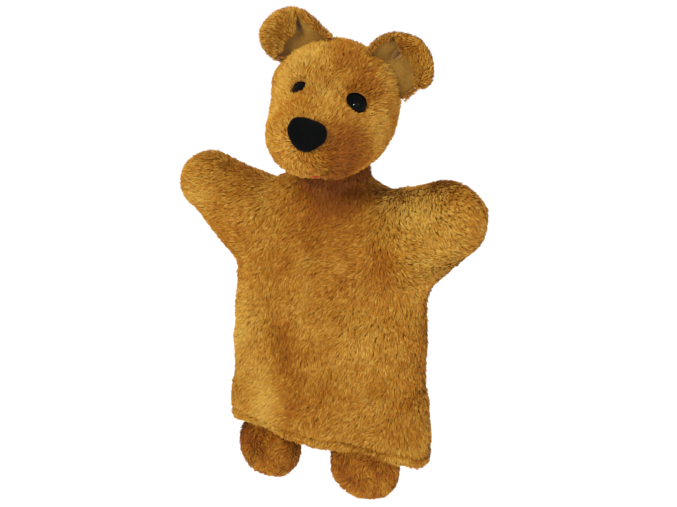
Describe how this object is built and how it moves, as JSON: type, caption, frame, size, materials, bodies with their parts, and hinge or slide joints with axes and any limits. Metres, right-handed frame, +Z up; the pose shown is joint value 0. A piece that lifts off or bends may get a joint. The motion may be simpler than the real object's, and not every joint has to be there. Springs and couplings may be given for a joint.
{
  "type": "plush hand puppet",
  "caption": "Short-pile plush dog glove puppet with a stuffed head on a finger tube, two folded ears, two finger arms and two padded feet hanging inside the hem.",
  "frame": {"origin": "centre of the hand opening, in the plane of the hem", "axes": "+Z up along the puppet's body, the puppet faces -Y, its own left hand is at +X"},
  "size_m": [0.1926, 0.1008, 0.2985],
  "materials": {
    "golden_plush": "short golden pile, matt with a soft sheen",
    "foot_plush": "short reddish brown pile",
    "ear_velour": "smooth olive brown velour",
    "nose_velour": "matt black velour",
    "eye_black": "polished black",
    "washer_plastic": "moulded",
    "tube_card": "rolled card",
    "fibre_filling": "loose white fibre",
    "ochre_thread": "sewing thread",
    "red_thread": "embroidery thread"
  },
  "bodies": {
    "glove": {"torso_front": "golden_plush", "torso_back": "golden_plush", "hem_stitch": "ochre_thread", "side_seam_left": "ochre_thread", "side_seam_right": "ochre_thread"},
    "neck_ring": {"neck_stitch": "ochre_thread"},
    "neck": {"neck_sleeve": "golden_plush"},
    "head": {"finger_tube": "tube_card", "head_side_left": "golden_plush", "head_side_right": "golden_plush", "head_gusset": "golden_plush", "chin_gusset": "golden_plush", "head_stuffing": "fibre_filling", "eye_left": "eye_black", "eye_right": "eye_black", "eye_washer_left": "washer_plastic", "eye_washer_right": "washer_plastic", "nose_cover": "nose_velour", "nose_filling": "fibre_filling", "mouth_stitch": "red_thread"},
    "ear_left": {"ear_left_plush": "golden_plush", "ear_left_lining": "ear_velour"},
    "ear_right": {"ear_right_plush": "golden_plush", "ear_right_lining": "ear_velour"},
    "arm_left": {"sleeve_left_front": "golden_plush", "sleeve_left_back": "golden_plush", "sleeve_left_seam_top": "ochre_thread", "sleeve_left_seam_under": "ochre_thread"},
    "paw_left": {"paw_left_front": "golden_plush", "paw_left_back": "golden_plush", "paw_left_seam": "ochre_thread"},
    "foot_left": {"foot_left_front": "foot_plush", "foot_left_back": "foot_plush", "foot_left_filling": "fibre_filling"},
    "arm_right": {"sleeve_right_front": "golden_plush", "sleeve_right_back": "golden_plush", "sleeve_right_seam_top": "ochre_thread", "sleeve_right_seam_under": "ochre_thread"},
    "paw_right": {"paw_right_front": "golden_plush", "paw_right_back": "golden_plush", "paw_right_seam": "ochre_thread"},
    "foot_right": {"foot_right_front": "foot_plush", "foot_right_back": "foot_plush", "foot_right_filling": "fibre_filling"}
  },
  "joints": [
    {"name": "head_nod", "type": "hinge", "parent": "glove", "child": "neck_ring", "pos_m": [0, 0, 0.15], "axis": [1, 0, 0], "range_deg": [-15, 20]},
    {"name": "head_tilt", "type": "hinge", "parent": "neck_ring", "child": "neck", "pos_m": [0, 0, 0.15], "axis": [0, 0.9986, -0.0523], "range_deg": [-18, 10]},
    {"name": "head_turn", "type": "hinge", "parent": "neck", "child": "head", "pos_m": [0, 0, 0.15], "axis": [0.1045, 0.052, 0.9932], "range_deg": [-35, 20]},
    {"name": "ear_left_flop", "type": "hinge", "parent": "head", "child": "ear_left", "pos_m": [0.03354, 0.01025, 0.21692], "axis": [0.649, 0.0622, -0.7583], "range_deg": [-12, 25], "stiffness_Nm_per_rad": 0.03},
    {"name": "ear_right_flop", "type": "hinge", "parent": "head", "child": "ear_right", "pos_m": [-0.01964, 0.00303, 0.22289], "axis": [0.7916, 0.1332, 0.5964], "range_deg": [-12, 25], "stiffness_Nm_per_rad": 0.03},
    {"name": "arm_left_raise", "type": "hinge", "parent": "glove", "child": "arm_left", "pos_m": [0.046, 0, 0.124], "axis": [0, -1, 0], "range_deg": [-15, 25]},
    {"name": "paw_left_curl", "type": "hinge", "parent": "arm_left", "child": "paw_left", "pos_m": [0.064, 0, 0.135], "axis": [0, 0, -1], "range_deg": [0, 35], "stiffness_Nm_per_rad": 0.02, "deforming": ["sleeve_left_front"]},
    {"name": "arm_right_raise", "type": "hinge", "parent": "glove", "child": "arm_right", "pos_m": [-0.046, 0, 0.124], "axis": [0, 1, 0], "range_deg": [-15, 40]},
    {"name": "paw_right_curl", "type": "hinge", "parent": "arm_right", "child": "paw_right", "pos_m": [-0.064, 0, 0.135], "axis": [0, 0, 1], "range_deg": [0, 35], "stiffness_Nm_per_rad": 0.02, "deforming": ["sleeve_right_front"]},
    {"name": "foot_left_swing", "type": "hinge", "parent": "glove", "child": "foot_left", "pos_m": [0.03, -0.012, 0.002], "axis": [1, 0, 0], "range_deg": [-20, 20]},
    {"name": "foot_right_swing", "type": "hinge", "parent": "glove", "child": "foot_right", "pos_m": [-0.03, -0.012, 0.002], "axis": [1, 0, 0], "range_deg": [-20, 20]}
  ]
}
